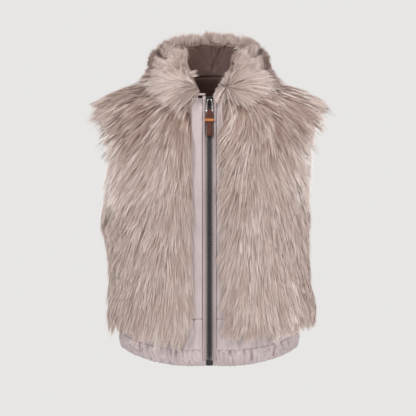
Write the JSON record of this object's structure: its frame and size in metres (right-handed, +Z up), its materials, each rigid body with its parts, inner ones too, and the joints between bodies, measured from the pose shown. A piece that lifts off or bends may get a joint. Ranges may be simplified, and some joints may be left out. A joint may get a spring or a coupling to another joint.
{
  "type": "body warmer",
  "caption": "Zip-up sleeveless body warmer with long-pile fur fronts, back and stand collar, woven placket and yoke, and a gathered elastic hem.",
  "frame": {"origin": "between the neck points of the shoulders, where the wearer's shoulders hold the garment", "axes": "+Z up, the wearer faces -Y, +X to the wearer's left"},
  "size_m": [0.4306, 0.2699, 0.589],
  "materials": {
    "fur": "long pile",
    "shell": "satin woven",
    "lining": "satin woven",
    "zip_tape": "woven",
    "zip_teeth": "moulded",
    "slider": "gloss",
    "ring": "polished",
    "strap": "smooth",
    "keeper": "raw edge"
  },
  "bodies": {
    "garment": {"fur_front_left": "fur", "fur_front_right": "fur", "fur_back": "fur", "collar_fur": "fur", "collar_facing": "lining", "lining_back": "lining", "placket_left": "shell", "placket_right": "shell", "zip_facing_left": "shell", "zip_facing_right": "shell", "neck_binding_left": "shell", "neck_binding_right": "shell", "yoke_front_left": "shell", "yoke_front_right": "shell", "yoke_back": "shell", "hem_front_left": "shell", "hem_front_right": "shell", "hem_back": "shell", "zip_tape_left": "zip_tape", "zip_tape_right": "zip_tape", "zip_chain": "zip_teeth", "zip_box": "zip_teeth", "zip_slider": "slider"},
    "pull": {"pull_ring": "ring", "pull_strap": "strap", "pull_keeper": "keeper"}
  },
  "joints": [
    {"name": "pull_swing", "type": "hinge", "parent": "garment", "child": "pull", "pos_m": [0, -0.08717, -0.02347], "axis": [-1, 0, 0], "range_deg": [0, 150]}
  ]
}
